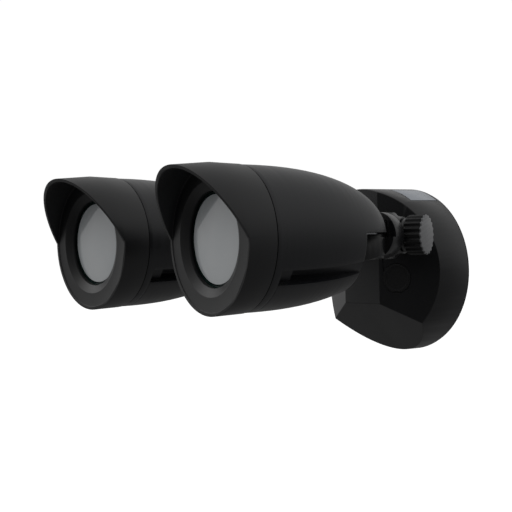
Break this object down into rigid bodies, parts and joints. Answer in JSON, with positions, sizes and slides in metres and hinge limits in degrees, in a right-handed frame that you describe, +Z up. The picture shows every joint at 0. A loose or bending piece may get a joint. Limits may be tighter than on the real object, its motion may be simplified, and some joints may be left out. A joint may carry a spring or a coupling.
{
  "type": "floodlight",
  "caption": "Wall security floodlight: faceted round base with bullet heads, sloping visors and frosted glass on clamped knuckles that swivel, tilt and turn.",
  "frame": {"origin": "centre of the foam pad's face that rests on the wall", "axes": "-Y points away from the wall, in the direction that the heads face; +Z is up; +X is to the right for someone facing the wall"},
  "size_m": [0.2364, 0.2583, 0.1311],
  "materials": {
    "black_moulding": "satin black moulding",
    "matt_black_moulding": "matt black moulding",
    "black_rubber": "matt rubber",
    "black_foam": "closed-cell foam",
    "zinc_steel": "zinc plated",
    "grey_trim": "satin grey",
    "frosted_glass": "frosted grey-green glass",
    "white_moulding": "matt white",
    "white_board": "white solder mask",
    "led_yellow": "phosphor yellow",
    "heat_sink_aluminium": "die-cast",
    "driver_grey": "matt grey",
    "green_board": "green solder mask",
    "board_parts_blue": "moulded cases",
    "brass": "turned brass"
  },
  "bodies": {
    "base": {"cover": "black_moulding", "back_plate": "zinc_steel", "wall_pad": "black_foam", "driver_box": "driver_grey", "control_board": "green_board", "board_parts": "board_parts_blue", "board_posts": "brass", "terminal_block": "white_moulding", "screw_plugs": "black_rubber", "cover_screws": "zinc_steel", "cable_grommet": "black_rubber", "label": "grey_trim"},
    "arm_right": {"arm_right": "black_moulding", "arm_seal_right": "black_rubber", "lock_nut_right": "zinc_steel", "friction_disc_right": "zinc_steel", "hinge_bolt_right": "zinc_steel", "collar_right": "black_moulding"},
    "knob_right": {"knob_right": "black_moulding", "knob_cap_right": "grey_trim"},
    "bracket_right": {"bracket_right": "black_moulding", "pin_washer_right": "zinc_steel"},
    "head_right": {"turning_pin_right": "zinc_steel", "housing_right": "black_moulding", "chin_right": "black_moulding", "chin_screws_right": "zinc_steel", "hood_right": "matt_black_moulding", "lens_right": "frosted_glass", "lens_gasket_right": "black_rubber", "reflector_right": "white_moulding", "led_board_right": "white_board", "leds_right": "led_yellow", "heat_sink_right": "heat_sink_aluminium", "sink_screws_right": "zinc_steel"},
    "arm_left": {"arm_left": "black_moulding", "arm_seal_left": "black_rubber", "lock_nut_left": "zinc_steel", "friction_disc_left": "zinc_steel", "hinge_bolt_left": "zinc_steel", "collar_left": "black_moulding"},
    "knob_left": {"knob_left": "black_moulding", "knob_cap_left": "grey_trim"},
    "bracket_left": {"bracket_left": "black_moulding", "pin_washer_left": "zinc_steel"},
    "head_left": {"turning_pin_left": "zinc_steel", "housing_left": "black_moulding", "chin_left": "black_moulding", "chin_screws_left": "zinc_steel", "hood_left": "matt_black_moulding", "lens_left": "frosted_glass", "lens_gasket_left": "black_rubber", "reflector_left": "white_moulding", "led_board_left": "white_board", "leds_left": "led_yellow", "heat_sink_left": "heat_sink_aluminium", "sink_screws_left": "zinc_steel"}
  },
  "joints": [
    {"name": "swivel_right", "type": "hinge", "parent": "base", "child": "arm_right", "pos_m": [0.0349, -0.04205, 0.0252], "axis": [-0.4384, 0.8988, 0], "range_deg": [-90, 90]},
    {"name": "tilt_right", "type": "hinge", "parent": "arm_right", "child": "bracket_right", "pos_m": [0.05581, -0.08492, 0.0252], "axis": [-0.8988, -0.4384, 0], "range_deg": [-60, 45]},
    {"name": "turn_right", "type": "hinge", "parent": "bracket_right", "child": "head_right", "pos_m": [0.07742, -0.11555, 0.0252], "axis": [0, 0, 1], "range_deg": [-8, 20]},
    {"name": "knob_turn_right", "type": "hinge", "parent": "arm_right", "child": "knob_right", "pos_m": [0.05581, -0.08492, 0.0252], "axis": [0.8988, 0.4384, 0], "range_deg": [0, 300]},
    {"name": "swivel_left", "type": "hinge", "parent": "base", "child": "arm_left", "pos_m": [-0.0349, -0.04205, 0.0252], "axis": [-0.4384, -0.8988, 0], "range_deg": [-90, 90]},
    {"name": "tilt_left", "type": "hinge", "parent": "arm_left", "child": "bracket_left", "pos_m": [-0.05581, -0.08492, 0.0252], "axis": [-0.8988, 0.4384, 0], "range_deg": [-60, 45]},
    {"name": "turn_left", "type": "hinge", "parent": "bracket_left", "child": "head_left", "pos_m": [-0.07742, -0.11555, 0.0252], "axis": [0, 0, -1], "range_deg": [-8, 20]},
    {"name": "knob_turn_left", "type": "hinge", "parent": "arm_left", "child": "knob_left", "pos_m": [-0.05581, -0.08492, 0.0252], "axis": [-0.8988, 0.4384, 0], "range_deg": [0, 300]}
  ]
}
